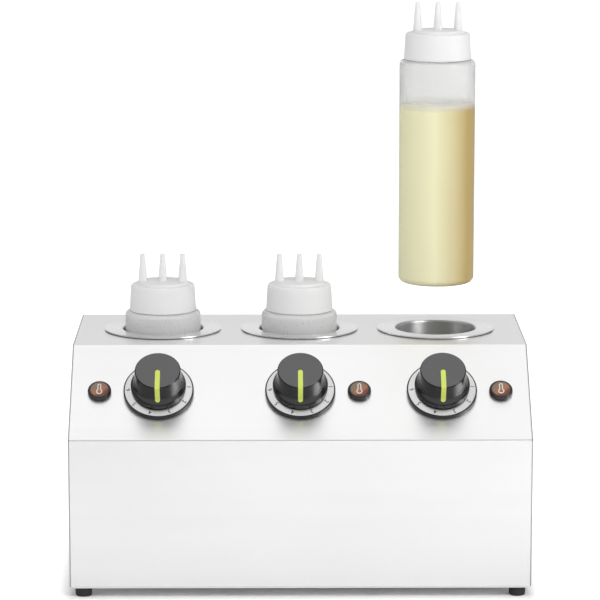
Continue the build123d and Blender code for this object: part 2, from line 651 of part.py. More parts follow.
def capillary(x):
    """A tube that leaves the back of the thermostat at x and rises into the bulb on the well."""
    exit_plane = panel_plane(x, -SHEET - THERMOSTAT_HEIGHT)
    start = exit_plane.origin + exit_plane.y_dir * CAPILLARY_UP
    with BuildPart() as tube:
        with BuildLine() as route:
            Line(start, start - exit_plane.z_dir * CAPILLARY_RUN)
            Spline(
                start - exit_plane.z_dir * CAPILLARY_RUN,
                (x, BULB_Y, Z_BULB),
                tangents=(-exit_plane.z_dir, (0, 0, 1)),
            )
        with BuildSketch(Plane(origin=route.line @ 0, z_dir=route.line % 0)):
            Circle(CAPILLARY_RADIUS)
        sweep()
        with BuildSketch(Plane.XY.offset(Z_BULB)):
            with Locations((x, BULB_Y)):
                Circle(BULB_RADIUS)
        extrude(amount=BULB_LENGTH)
    return tube.part


with BuildPart() as bulb_clips:
    with BuildSketch(Plane.XY.offset(Z_BULB + (BULB_LENGTH - CLIP_HEIGHT) / 2)):
        for x in WELL_X:
            add(belt(x, CLIP_THICKNESS))
            add(belt(x, 0), mode=Mode.SUBTRACT)
    extrude(amount=CLIP_HEIGHT)
save(bulb_clips, "bulb_clips")

with BuildPart() as capillaries:
    for x in WELL_X:
        add(capillary(x))
save(capillaries, "capillaries")

for number, x in enumerate(WELL_X, start=1):
    panel = panel_plane(x)
    back = -SHEET - THERMOSTAT_HEIGHT

    # The switch body stands against the slope's inner face, with a bushing through the shaft's hole.
    with BuildPart() as thermostat:
        with BuildSketch(panel_plane(x, -SHEET)):
            RectangleRounded(THERMOSTAT_WIDTH, THERMOSTAT_LENGTH, THERMOSTAT_CORNER_RADIUS)
        extrude(amount=-THERMOSTAT_HEIGHT)
        with BuildSketch(panel_plane(x, -SHEET)):
            Circle(BUSHING_RADIUS)
        extrude(amount=BUSHING_LENGTH)
        with BuildSketch(panel_plane(x, back)):
            with GridLocations(2 * POST_OFFSET, 1, 2, 1):
                Rectangle(TAB_THICKNESS, TAB_WIDTH)
            with Locations((LINK_SIDE[number - 1] * LINK_TAB_X, -LINK_TAB_DOWN)):
                Rectangle(TAB_THICKNESS, TAB_WIDTH)
        extrude(amount=-TAB_LENGTH)
        with BuildSketch(panel_plane(x, BUSHING_LENGTH - SHEET)):
            Circle(SHAFT_RADIUS + RUNNING_CLEARANCE)
        extrude(amount=-BUSHING_LENGTH - SHAFT_DEPTH, mode=Mode.SUBTRACT)
        with BuildSketch(panel_plane(x, -SHEET)):
            with GridLocations(THERMOSTAT_SCREWS, 1, 2, 1):
                Circle(SCREW_HOLE_RADIUS)
        extrude(amount=-SCREW_LENGTH, mode=Mode.SUBTRACT)
    save(thermostat, f"thermostat_{number}")

    # The shaft turns in the thermostat and carries the knob on its flatted end.
    shaft_foot = -SHEET - SHAFT_DEPTH + SEAT_GAP
    with BuildPart() as thermostat_shaft:
        with BuildSketch(panel_plane(x, shaft_foot)):
            Circle(SHAFT_RADIUS)
        extrude(amount=SHAFT_TOP - shaft_foot)
        with BuildSketch(panel_plane(x, SHAFT_TOP)):
            with Locations((0, SHAFT_RADIUS - SHAFT_FLAT)):
                Rectangle(3 * SHAFT_RADIUS, SHAFT_RADIUS, align=(Align.CENTER, Align.MIN))
        extrude(amount=KNOB_SKIRT_BOTTOM - SHAFT_TOP, mode=Mode.SUBTRACT)
    save(thermostat_shaft, f"thermostat_shaft_{number}")

    # A raised black ring carries the dial, which is a shallow metal cone let into it.
    seat_radius = BEZEL_RADIUS - BEZEL_RIM
    cone_slope = DIAL_RISE / (seat_radius - BEZEL_BORE_RADIUS)
    seat = BEZEL_HEIGHT - DIAL_THICKNESS
    with BuildPart() as dial_bezel:
        with BuildSketch(section_plane(panel)):
            with BuildLine():
                Polyline(
                    (BEZEL_BORE_RADIUS, 0),
                    (BEZEL_RADIUS, 0),
                    (BEZEL_RADIUS, BEZEL_HEIGHT),
                    (seat_radius, BEZEL_HEIGHT),
                    (seat_radius, seat),
                    (BEZEL_BORE_RADIUS, seat + DIAL_RISE),
                    close=True,
                )
            make_face()
        revolve(axis=axis_of(panel))
        rim_edges = dial_bezel.edges().filter_by(GeomType.CIRCLE).sort_by(SortBy.RADIUS)[-2:]
        fillet(rim_edges.sort_by(Axis(panel.origin, panel.z_dir))[-1], radius=BEZEL_RIM / 2)
    save(dial_bezel, f"dial_bezel_{number}")

    dial_edge = seat_radius - FIT_GAP
    dial_rise = (dial_edge - DIAL_BORE_RADIUS) * cone_slope
    dial_seat = seat + FIT_GAP * cone_slope
    with BuildPart() as dial_plate:
        with BuildSketch(section_plane(panel)):
            with BuildLine():
                Polyline(
                    (dial_edge, dial_seat),
                    (dial_edge, dial_seat + DIAL_THICKNESS),
                    (DIAL_BORE_RADIUS, dial_seat + DIAL_THICKNESS + dial_rise),
                    (DIAL_BORE_RADIUS, dial_seat + dial_rise),
                    close=True,
                )
            make_face()
        revolve(axis=axis_of(panel))
    save(dial_plate, f"dial_plate_{number}")

    # The pointer stripe follows the knob's face, edge and side, pointing down the slope.
    stripe_plane = Plane(origin=panel.origin, x_dir=-panel.y_dir, z_dir=-panel.x_dir)
    side = knob_side()
    with BuildPart() as knob_pointer:
        with BuildSketch(stripe_plane):
            for thickness, face_side in ((POINTER_PROUD, Side.LEFT), (POINTER_DEPTH, Side.RIGHT)):
                with BuildLine():
                    Polyline(
                        (0, KNOB_TOP),
                        (KNOB_FACE_RADIUS - KNOB_CHAMFER, KNOB_TOP),
                        (KNOB_FACE_RADIUS, KNOB_TOP - KNOB_CHAMFER),
                        side @ 0,
                    )
                    ThreePointArc(side @ 0, side @ (POINTER_END / 2), side @ POINTER_END)
                    offset(amount=thickness, side=face_side, kind=Kind.INTERSECTION)
                make_face()
        extrude(amount=POINTER_WIDTH / 2, both=True)
        ends = knob_pointer.edges().filter_by(
            lambda e: abs(e.length - POINTER_PROUD - POINTER_DEPTH) < FIT_GAP
        )
        fillet(ends, radius=POINTER_WIDTH / 2 - FIT_GAP)
    save(knob_pointer, f"knob_pointer_{number}")

    # The knob is a hollow moulding with a boss that takes the flatted shaft.
    boss_bottom = KNOB_SKIRT_BOTTOM + KNOB_WALL / 2
    with BuildPart() as knob:
        with BuildSketch(section_plane(panel)):
            with BuildLine():
                Polyline(
                    (0, KNOB_TOP),
                    (KNOB_FACE_RADIUS - KNOB_CHAMFER, KNOB_TOP),
                    (KNOB_FACE_RADIUS, KNOB_TOP - KNOB_CHAMFER),
                    side @ 0,
                )
                ThreePointArc(side @ 0, side @ 0.5, side @ 1)
                Polyline(
                    side @ 1,
                    (KNOB_SKIRT_RADIUS, KNOB_SKIRT_BOTTOM),
                    (KNOB_SKIRT_RADIUS - KNOB_WALL, KNOB_SKIRT_BOTTOM),
                    (KNOB_SKIRT_RADIUS - KNOB_WALL, KNOB_SKIRT_BOTTOM + KNOB_WALL),
                    (KNOB_FACE_RADIUS - KNOB_WALL, KNOB_WAIST),
                    (KNOB_FACE_RADIUS - KNOB_WALL, KNOB_TOP - KNOB_WALL),
                    (KNOB_BOSS_RADIUS, KNOB_TOP - KNOB_WALL),
                    (KNOB_BOSS_RADIUS, boss_bottom),
                    (0, boss_bottom),
                    (0, KNOB_TOP),
                )
            make_face()
        revolve(axis=axis_of(panel))
        with BuildSketch(panel_plane(x, boss_bottom)):
            Circle(SHAFT_RADIUS + RUNNING_CLEARANCE)
            with Locations((0, SHAFT_RADIUS - SHAFT_FLAT + RUNNING_CLEARANCE)):
                Rectangle(
                    3 * SHAFT_RADIUS,
                    SHAFT_RADIUS,
                    align=(Align.CENTER, Align.MIN),
                    mode=Mode.SUBTRACT,
                )
        extrude(amount=SHAFT_TOP + SEAT_GAP - boss_bottom, mode=Mode.SUBTRACT)
        add(knob_pointer.part, mode=Mode.SUBTRACT)
    save(knob, f"knob_{number}")

# ---------------------------------------------------------------- pilot lamps

LAMP_CAVITY_RADIUS = LAMP_BARREL_RADIUS - LAMP_RIM_EDGE
for number, x in enumerate(LAMP_X, start=1):
    panel = panel_plane(x)
    lens_radius = LAMP_LENS_RADIUS + FIT_GAP
    lens_seat = LAMP_RIM_HEIGHT - LAMP_LENS_THICKNESS

    with BuildPart() as pilot_housing:
        with BuildSketch(section_plane(panel)):
            with BuildLine():
                FilletPolyline(
                    (0, -LAMP_BARREL_LENGTH),
                    (LAMP_BARREL_RADIUS, -LAMP_BARREL_LENGTH),
                    (LAMP_BARREL_RADIUS, 0),
                    (LAMP_RIM_RADIUS, 0),
                    (LAMP_RIM_RADIUS, LAMP_RIM_HEIGHT),
                    (lens_radius, LAMP_RIM_HEIGHT),
                    (lens_radius, lens_seat),
                    (LAMP_CAVITY_RADIUS, lens_seat),
                    (LAMP_CAVITY_RADIUS, LAMP_RIM_HEIGHT - LAMP_BARREL_LENGTH),
                    (0, LAMP_RIM_HEIGHT - LAMP_BARREL_LENGTH),
                    radius=[0, 0, 0, LAMP_RIM_EDGE, 0, 0, 0, 0],
                )
                Line((0, LAMP_RIM_HEIGHT - LAMP_BARREL_LENGTH), (0, -LAMP_BARREL_LENGTH))
            make_face()
        revolve(axis=axis_of(panel))
        with BuildSketch(panel_plane(x, -LAMP_BARREL_LENGTH)):
            with GridLocations(2 * LAMP_TAB_X, 1, 2, 1):
                Rectangle(TAB_THICKNESS, TAB_WIDTH)
        extrude(amount=-TAB_LENGTH)
    save(pilot_housing, f"pilot_housing_{number}")

    with BuildPart() as pilot_lens:
        with BuildSketch(section_plane(panel)):
            with BuildLine():
                Polyline(
                    (0, LAMP_RIM_HEIGHT + LAMP_LENS_RISE),
                    (0, lens_seat),
                    (LAMP_LENS_RADIUS, lens_seat),
                    (LAMP_LENS_RADIUS, LAMP_RIM_HEIGHT),
                )
                dome_radius = (LAMP_LENS_RADIUS**2 + LAMP_LENS_RISE**2) / (2 * LAMP_LENS_RISE)
                dome_centre = LAMP_RIM_HEIGHT + LAMP_LENS_RISE - dome_radius
                half = LAMP_LENS_RADIUS / 2
                ThreePointArc(
                    (LAMP_LENS_RADIUS, LAMP_RIM_HEIGHT),
                    (half, dome_centre + sqrt(dome_radius**2 - half**2)),
                    (0, LAMP_RIM_HEIGHT + LAMP_LENS_RISE),
                )
            make_face()
        revolve(axis=axis_of(panel))
    save(pilot_lens, f"pilot_lens_{number}")

LAMP_NUT = hex_nut(LAMP_NUT_FLATS, LAMP_NUT_HEIGHT, LAMP_BARREL_RADIUS + FIT_GAP)
with BuildPart() as pilot_nuts:
    with Locations(*[panel_plane(x, -SHEET - LAMP_NUT_HEIGHT).location for x in LAMP_X]):
        add(LAMP_NUT)
save(pilot_nuts, "pilot_nuts")

# ---------------------------------------------------------------- cable gland and terminal block


def gland_plane(outward):
    """A plane across the gland's axis, facing out of the rear panel, at a distance from its face."""
    origin = (GLAND_X, Y_REAR + outward, Z_BASE + GLAND_UP)
    return Plane(origin=origin, x_dir=(1, 0, 0), z_dir=(0, 1, 0))


GLAND_STUB = GLAND_HEX + GLAND_SEAL_LENGTH + FIT_GAP  # the body's outer end
with BuildPart() as gland_body:
    with BuildSketch(gland_plane(-GLAND_BARREL)):
        Circle(GLAND_THREAD_RADIUS)
    extrude(amount=GLAND_BARREL + GLAND_STUB)
    with BuildSketch(gland_plane(0)):
        RegularPolygon(radius=GLAND_FLATS / 2, side_count=6, major_radius=False)
    extrude(amount=GLAND_HEX)
    with BuildSketch(gland_plane(-GLAND_BARREL)):
        Circle(GLAND_BORE_RADIUS)
    extrude(amount=GLAND_BARREL + GLAND_STUB, mode=Mode.SUBTRACT)
    with BuildSketch(gland_plane(GLAND_HEX)):
        Circle(GLAND_SEAL_RADIUS + FIT_GAP)
    extrude(amount=GLAND_SEAL_LENGTH + FIT_GAP, mode=Mode.SUBTRACT)
save(gland_body, "gland_body")

with BuildPart() as gland_seal:
    with BuildSketch(gland_plane(GLAND_HEX)):
        Circle(GLAND_SEAL_RADIUS)
        Circle(CABLE_BORE_RADIUS, mode=Mode.SUBTRACT)
    extrude(amount=GLAND_SEAL_LENGTH)
save(gland_seal, "gland_seal")

with BuildPart() as gland_cap:
    with BuildSketch(gland_plane(GLAND_HEX)):
        RegularPolygon(radius=GLAND_FLATS / 2, side_count=6, major_radius=False)
    extrude(amount=GLAND_CAP)
    with BuildSketch(section_plane(gland_plane(GLAND_HEX))):
        with BuildLine():
            FilletPolyline(
                (0, 0),
                (GLAND_FLATS, 0),
                (GLAND_CAP_SHOULDER, GLAND_CAP / 2),
                (GLAND_CAP_END, GLAND_CAP),
                (0, GLAND_CAP),
                radius=GLAND_CAP_ROUND,
            )
            Line((0, GLAND_CAP), (0, 0))
        make_face()
    revolve(axis=axis_of(gland_plane(0)), mode=Mode.INTERSECT)
    with BuildSketch(gland_plane(GLAND_HEX)):
        Circle(GLAND_THREAD_RADIUS + FIT_GAP)
    extrude(amount=GLAND_STUB - GLAND_HEX + FIT_GAP, mode=Mode.SUBTRACT)
    with BuildSketch(gland_plane(GLAND_HEX)):
        Circle(GLAND_BORE_RADIUS)
    extrude(amount=GLAND_CAP, mode=Mode.SUBTRACT)
save(gland_cap, "gland_cap")

LOCKNUT = hex_nut(GLAND_FLATS, LOCKNUT_HEIGHT, GLAND_THREAD_RADIUS + FIT_GAP)
with BuildPart() as gland_locknut:
    with Locations(gland_plane(-SHEET - LOCKNUT_HEIGHT).location):
        add(LOCKNUT)
save(gland_locknut, "gland_locknut")

with BuildPart() as terminal_block:
    with BuildSketch(Plane.XY.offset(Z_FLOOR)):
        with Locations(BLOCK_POINT):
            Rectangle(BLOCK_WIDTH, BLOCK_DEPTH)
    extrude(amount=BLOCK_HEIGHT)
    with BuildSketch(Plane.XY.offset(Z_FLOOR)):
        with Locations(BLOCK_POINT):
            RectangleRounded(BLOCK_WIDTH + 2 * BLOCK_EAR, BLOCK_EAR, BLOCK_EAR / 3)
    extrude(amount=BLOCK_EAR_HEIGHT)
    with BuildSketch(Plane.XY.offset(Z_FLOOR)):
        with Locations(*BLOCK_SCREWS):
            Circle(SCREW_HOLE_RADIUS)
    extrude(amount=BLOCK_EAR_HEIGHT, mode=Mode.SUBTRACT)
    with BuildSketch(Plane.XY.offset(Z_FLOOR + BLOCK_HEIGHT)):
        with Locations(BLOCK_POINT):
            with GridLocations(BLOCK_WAY_PITCH, BLOCK_DEPTH / 2, 3, 2):
                Circle(THREAD_RADIUS)
    extrude(amount=-BLOCK_EAR_HEIGHT, mode=Mode.SUBTRACT)
save(terminal_block, "terminal_block")

# ---------------------------------------------------------------- wiring


def wire(points):
    """A wire along straight runs joined by arcs."""
    with BuildPart() as tube:
        with BuildLine() as route:
            FilletPolyline(*points, radius=WIRE_BEND)
        with BuildSketch(Plane(origin=route.line @ 0, z_dir=route.line % 0)):
            Circle(WIRE_RADIUS)
        sweep()
    return tube.part


def tab_point(x, across, down, depth):
    """A point behind the slope: across and down from the axis at x, and deep into the housing."""
    panel = panel_plane(x)
    return panel.origin + panel.x_dir * across - panel.y_dir * down - panel.z_dir * depth


TAB_END = SHEET + THERMOSTAT_HEIGHT + TAB_LENGTH
LAMP_TAB_END = LAMP_BARREL_LENGTH + TAB_LENGTH
Z_POST = Z_BAND + BAND_HEIGHT / 2
BLOCK_FRONT = BLOCK_POINT[1] - BLOCK_DEPTH / 2
BLOCK_REAR = BLOCK_POINT[1] + BLOCK_DEPTH / 2
return_y = Y_REAR - RETURN_FROM_REAR
with BuildPart() as wiring:
    for index, x in enumerate(WELL_X):
        lane = Z_FLOOR + WIRE_LANES[index]
        way = BLOCK_POINT[0] + (index - 1) * BLOCK_WAY_PITCH
        left = x - POST_OFFSET
        right = x + POST_OFFSET
        heater_tab = tab_point(x, -POST_OFFSET, 0, TAB_END)
        heater_turn = tab_point(x, -POST_OFFSET, 0, TAB_END + HEATER_APPROACH)
        supply_tab = tab_point(x, POST_OFFSET, 0, TAB_END)
        supply_turn = tab_point(x, POST_OFFSET, 0, TAB_END + SUPPLY_APPROACH)
        heater_lead = [
            (left, POST_END, Z_POST),
            (left, POST_END + POST_RUN, Z_POST),
            (left, POST_END + POST_RUN, Z_FLOOR + WIRE_LANES[1]),
            (left, heater_turn.Y, Z_FLOOR + WIRE_LANES[1]),
            heater_turn,
            heater_tab,
        ]
        supply_lead = [
            supply_tab,
            supply_turn,
            (right, supply_turn.Y, lane),
            (way, supply_turn.Y, lane),
            (way, BLOCK_FRONT, lane),
        ]
        return_lead = [
            (right, POST_END, Z_POST),
            (right, return_y, Z_POST),
            (right, return_y, lane),
            (way, return_y, lane),
            (way, BLOCK_REAR, lane),
        ]
        lamp_tab = LAMP_X[index] - LINK_SIDE[index] * LAMP_TAB_X - x
        link_tab = LINK_SIDE[index] * LINK_TAB_X
        lamp_link = [
            tab_point(x, lamp_tab, 0, LAMP_TAB_END),
            tab_point(x, lamp_tab, 0, TAB_END + LINK_APPROACH),
            tab_point(x, link_tab, LINK_TAB_DOWN, TAB_END + LINK_APPROACH),
            tab_point(x, link_tab, LINK_TAB_DOWN, TAB_END),
        ]
        for route_points in (heater_lead, supply_lead, return_lead, lamp_link):
            add(wire(route_points))
save(wiring, "wiring")

# ---------------------------------------------------------------- bottles and caps

for number, (x, lift) in enumerate(zip(WELL_X, BOTTLE_LIFT), start=1):
    foot = upright(x, WELL_Y, Z_SEAT + lift)
    bottle_axis = Axis((x, WELL_Y, 0), (0, 0, 1))

    # A blow-moulded squeeze bottle: straight body, rounded shoulder, wide neck with a thread ridge.
    with BuildPart() as bottle:
        with BuildSketch(foot):
            with BuildLine():
                FilletPolyline(
                    (0, 0),
                    (BOTTLE_RADIUS, 0),
                    (BOTTLE_RADIUS, SHOULDER_TOP),
                    (NECK_RADIUS, SHOULDER_TOP),
                    (NECK_RADIUS, NECK_TOP),
                    radius=[BOTTLE_FOOT_RADIUS, BOTTLE_SHOULDER, BOTTLE_WALL],
                )
                offset(amount=BOTTLE_WALL, side=Side.LEFT)
            make_face()
            ridge = SHOULDER_TOP + THREAD_UP
            with BuildLine():
                Polyline(
                    (NECK_RADIUS - BOTTLE_WALL / 2, ridge - THREAD_WIDTH / 2),
                    (NECK_RADIUS, ridge - THREAD_WIDTH / 2),
                    (NECK_RADIUS + THREAD_PROUD, ridge),
                    (NECK_RADIUS, ridge + THREAD_WIDTH / 2),
                    (NECK_RADIUS - BOTTLE_WALL / 2, ridge + THREAD_WIDTH / 2),
                    close=True,
                )
            make_face()
        revolve(axis=bottle_axis)
    save(bottle, f"bottle_{number}")

    # The cap: a tapered skirt, a raised boss and three hollow spouts in a row.
    with BuildPart() as cap:
        with BuildSketch(foot):
            with BuildLine():
                FilletPolyline(
                    (0, CAP_TOP + BOSS_HEIGHT),
                    (BOSS_RADIUS, CAP_TOP + BOSS_HEIGHT),
                    (BOSS_RADIUS + CAP_WALL / 2, CAP_TOP),
                    (CAP_TOP_RADIUS, CAP_TOP),
                    (CAP_SKIRT_RADIUS, CAP_BOTTOM),
                    (CAP_SKIRT_RADIUS - CAP_WALL, CAP_BOTTOM),
                    (CAP_TOP_RADIUS - CAP_WALL, CAP_TOP - CAP_WALL),
                    (BOSS_RADIUS - CAP_WALL, CAP_TOP - CAP_WALL),
                    (BOSS_RADIUS - CAP_WALL, CAP_TOP + BOSS_HEIGHT - CAP_WALL),
                    (0, CAP_TOP + BOSS_HEIGHT - CAP_WALL),
                    radius=[CAP_WALL, CAP_WALL / 2, CAP_EDGE_RADIUS, 0, 0, 0, 0, 0],
                )
                Line((0, CAP_TOP + BOSS_HEIGHT - CAP_WALL), (0, CAP_TOP + BOSS_HEIGHT))
            make_face()
        revolve(axis=bottle_axis)
        spout_foot = foot.origin.Z + CAP_TOP + BOSS_HEIGHT - CAP_WALL
        spout_height = SPOUT_TIP - BOSS_HEIGHT + CAP_WALL
        spout_places = [(x + i * SPOUT_PITCH, WELL_Y, spout_foot) for i in (-1, 0, 1)]
        stand = (Align.CENTER, Align.CENTER, Align.MIN)
        with Locations(*spout_places):
            Cone(SPOUT_BASE_RADIUS, SPOUT_TIP_RADIUS, spout_height, align=stand)
        with Locations(*spout_places):
            Cone(
                SPOUT_BASE_RADIUS - SPOUT_WALL,
                SPOUT_HOLE_RADIUS,
                spout_height,
                align=stand,
                mode=Mode.SUBTRACT,
            )
    save(cap, f"cap_{number}")

# The sauce fills the lifted bottle from its floor to a level surface.
sauce_radius = BOTTLE_RADIUS - BOTTLE_WALL - SAUCE_GAP
sauce_bottom = BOTTLE_WALL + SAUCE_GAP
with BuildPart() as sauce_fill:
    with BuildSketch(upright(WELL_X[2], WELL_Y, Z_SEAT + BOTTLE_LIFT[2])):
        with BuildLine():
            FilletPolyline(
                (0, sauce_bottom),
                (sauce_radius, sauce_bottom),
                (sauce_radius, SAUCE_DEPTH),
                (0, SAUCE_DEPTH),
                radius=[BOTTLE_FOOT_RADIUS - BOTTLE_WALL, 0],
            )
            Line((0, SAUCE_DEPTH), (0, sauce_bottom))
        make_face()
    revolve(axis=Axis((WELL_X[2], WELL_Y, 0), (0, 0, 1)))
save(sauce_fill, "sauce_fill")
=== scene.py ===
import json
from math import asin, atan2, cos, pi, radians, sin, sqrt

import bpy
from mathutils import Matrix, Vector


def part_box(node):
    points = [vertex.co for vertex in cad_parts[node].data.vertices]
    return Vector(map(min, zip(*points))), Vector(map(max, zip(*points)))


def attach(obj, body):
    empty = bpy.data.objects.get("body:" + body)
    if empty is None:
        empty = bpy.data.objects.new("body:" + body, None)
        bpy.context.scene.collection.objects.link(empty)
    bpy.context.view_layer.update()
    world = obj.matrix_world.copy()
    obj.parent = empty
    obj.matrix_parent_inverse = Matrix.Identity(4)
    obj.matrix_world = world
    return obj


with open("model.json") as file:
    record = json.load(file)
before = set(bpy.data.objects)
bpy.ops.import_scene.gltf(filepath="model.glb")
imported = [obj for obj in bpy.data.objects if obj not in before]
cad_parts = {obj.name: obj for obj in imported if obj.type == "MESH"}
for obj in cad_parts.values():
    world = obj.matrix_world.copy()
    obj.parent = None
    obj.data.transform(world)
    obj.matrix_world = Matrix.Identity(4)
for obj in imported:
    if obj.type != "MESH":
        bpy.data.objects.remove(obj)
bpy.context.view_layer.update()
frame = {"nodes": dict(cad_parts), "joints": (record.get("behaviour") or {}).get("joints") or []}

MM = 0.001
NODES = frame["nodes"]
WELLS = (1, 2, 3)
WHITE = (1, 1, 1, 1)
X_AXIS = Vector((1, 0, 0))
NOISE_RANGE = (0.3, 0.7)  # where the values of noise mostly lie

# ---------------------------------------------------------------- places, worked out from the frame

KNOB_JOINTS = {j["child"]: j for j in frame["joints"] if j["type"] == "hinge"}
FIRST_KNOB_PLACE = KNOB_JOINTS["knob_1_body"]["pos_m"]
PANEL_NORMAL = -Vector(KNOB_JOINTS["knob_1_body"]["axis"]).normalized()
UP_SLOPE = PANEL_NORMAL.cross(X_AXIS)


def centre_of(node):
    low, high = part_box(node)
    return (low + high) / 2


def panel_matrix(x):
    """The frame of the point at x on the controls' line: X across, Y up the slope, Z outward."""
    origin = Vector(FIRST_KNOB_PLACE)
    origin.x = x
    axes = Matrix((X_AXIS, UP_SLOPE, PANEL_NORMAL)).transposed()
    return Matrix.Translation(origin) @ axes.to_4x4()


# ---------------------------------------------------------------- camera

CAMERA_PLACE = (-0.0203, -2.8515, 0.769)
CAMERA_PITCH = 10.29  # degrees down
CAMERA_YAW = -0.416  # degrees, to the left where positive
FOCAL_PIXELS = 3098.1  # on the 600-pixel frame
FRAME_PIXELS = 600
SENSOR = 36.0

camera_data = bpy.data.cameras.new("camera")
camera_data.sensor_width = SENSOR
camera_data.lens = FOCAL_PIXELS / FRAME_PIXELS * SENSOR
camera = bpy.data.objects.new("camera", camera_data)
camera.location = CAMERA_PLACE
camera.rotation_euler = (radians(90 - CAMERA_PITCH), 0, radians(CAMERA_YAW))
bpy.context.scene.collection.objects.link(camera)
bpy.context.scene.camera = camera
bpy.context.scene.view_settings.view_transform = "Standard"

# ---------------------------------------------------------------- node helpers


class NodeTree:
    """A node tree with short ways to add nodes to it. A value may be a number, a colour or a socket."""

    def __init__(self, tree):
        self.tree = tree

    def put(self, value, socket):
        """Links a socket, or sets it to a number or a colour."""
        if isinstance(value, bpy.types.NodeSocket):
            self.tree.links.new(value, socket)
        elif socket.type == "RGBA" and len(value) == 3:
            socket.default_value = (*value, 1)
        else:
            socket.default_value = value

    def fill(self, node, sockets):
        """Fills a node's inputs by name; a name's underscores stand for spaces."""
        for name, value in sockets.items():
            self.put(value, node.inputs[name.replace("_", " ")])

    def node(self, kind, properties=(), **sockets):
        made = self.tree.nodes.new("ShaderNode" + kind)
        for name, value in dict(properties).items():
            setattr(made, name, value)
        self.fill(made, sockets)
        return made

    def math(self, operation, first, second=0.0):
        made = self.node("Math", {"operation": operation})
        self.put(first, made.inputs[0])
        self.put(second, made.inputs[1])
        return made.outputs[0]

    def sum(self, first, first_share, second, second_share):
        """A weighted sum of two values."""
        return self.math(
            "ADD", self.math("MULTIPLY", first, first_share), self.math("MULTIPLY", second, second_share)
        )

    def length(self, across, along):
        """The length of a flat vector from its two parts."""
        squares = [self.math("MULTIPLY", part, part) for part in (across, along)]
        return self.math("SQRT", self.math("ADD", *squares))

    def span(self, value, low, high, source=NOISE_RANGE, smooth=False):
        """A value from the source range mapped to low..high."""
        made = self.node(
            "MapRange",
            {"interpolation_type": "SMOOTHSTEP" if smooth else "LINEAR"},
            Value=value,
            To_Min=low,
            To_Max=high,
        )
        made.inputs["From Min"].default_value = source[0]
        made.inputs["From Max"].default_value = source[1]
        return made.outputs["Result"]

    def around(self, tone, middle, share, source=NOISE_RANGE):
        """A number that a tone makes smaller or larger by a share."""
        return self.span(tone, middle * (1 - share), middle * (1 + share), source)

    def seen_straight(self, rays):
        """1 for what the camera sees directly or through something clear, otherwise 0."""
        return self.math("MAXIMUM", rays.outputs["Is Camera Ray"], rays.outputs["Is Transmission Ray"])


class Shader(NodeTree):
    """A material with its principled shader."""

    def __init__(self, name, **sockets):
        self.material = bpy.data.materials.new(name)
        self.material.use_nodes = True
        super().__init__(self.material.node_tree)
        self.principled = self.tree.nodes["Principled BSDF"]
        self.set(**sockets)

    def set(self, **sockets):
        """Sets or links sockets of the principled shader."""
        self.fill(self.principled, sockets)

    def colour(self):
        """The socket that the base colour comes from so far."""
        return self.principled.inputs["Base Color"].links[0].from_socket

    def place(self, scale=(1, 1, 1), origin=(0, 0, 0)):
        """Object coordinates, moved to an origin and scaled."""
        moved = self.node("VectorMath", {"operation": "SUBTRACT"})
        self.put(self.node("TexCoord").outputs["Object"], moved.inputs[0])
        self.put(origin, moved.inputs[1])
        return self.node("Mapping", Vector=moved.outputs[0], Scale=scale).outputs["Vector"]

    def parts(self, origin=(0, 0, 0)):
        """Object coordinates from an origin, as X, Y and Z."""
        return self.node("SeparateXYZ", Vector=self.place(origin=origin)).outputs

    def noise(self, scale, detail=3.0):
        """Noise in features per metre: one number, or a number for each axis."""
        if isinstance(scale, (int, float)):
            scale = (scale, scale, scale)
        return self.node("TexNoise", Vector=self.place(scale), Scale=1.0, Detail=detail).outputs["Fac"]

    def mix(self, factor, first, second):
        """A colour between first and second."""
        made = self.node("Mix", {"data_type": "RGBA"})
        for socket, value in ((0, factor), (6, first), (7, second)):  # the colour version's sockets
            self.put(value, made.inputs[socket])
        return made.outputs[2]

    def varied(self, tone, colour, spread):
        """A colour that a tone makes darker or lighter by a share."""
        dark = [c * (1 - spread) for c in colour]
        light = [min(1.0, c * (1 + spread)) for c in colour]
        return self.mix(self.span(tone, 0, 1), dark, light)

    def bump(self, height, depth, strength):
        """A normal from a height, whose full range is a depth in metres."""
        return self.node("Bump", Height=height, Distance=depth, Strength=strength).outputs["Normal"]


def dress(shader, *nodes):
    """Gives CAD nodes a material."""
    for name in nodes:
        slots = NODES[name].data.materials
        slots.clear()
        slots.append(shader.material)


def numbered(name):
    return [f"{name}_{i}" for i in WELLS]


# ---------------------------------------------------------------- metals

FINE_BRUSHING = 2600  # streaks per metre, across the brushing
ALONG_X = (12, FINE_BRUSHING, FINE_BRUSHING)
ALONG_Y = (FINE_BRUSHING, 12, FINE_BRUSHING)
BROAD_SHARE = 1 / 14  # how many broad streaks there are to a fine one
FINE_RELIEF = 0.00002  # depth of fine marks in polished metal, in metres
COARSE_RELIEF = 0.00003


def brushed(name, colour, grain, roughness, spread=0.02, relief=0.35, smear=0.0):
    """Brushed steel. The grain is the texture's scale per axis, low along the brushing.

    With a smear, it draws its reflections out across brushing that runs along X."""
    steel = Shader(name, Metallic=1.0, Anisotropic=smear)
    fine = steel.noise(grain, detail=4.0)
    broad = steel.noise([g * BROAD_SHARE for g in grain], detail=2.0)
    cloud = steel.noise(5, detail=1.0)
    tone = steel.sum(fine, 0.6, broad, 0.4)
    steel.set(
        Base_Color=steel.varied(tone, colour, spread),
        Roughness=steel.around(steel.sum(tone, 1.0, cloud, 0.5), roughness, 0.18, (0.5, 1.0)),
        Normal=steel.bump(tone, FINE_RELIEF, relief),
    )
    if smear:
        steel.set(Tangent=steel.node("CombineXYZ", X=0.0, Y=1.0, Z=1.0).outputs[0])
    return steel


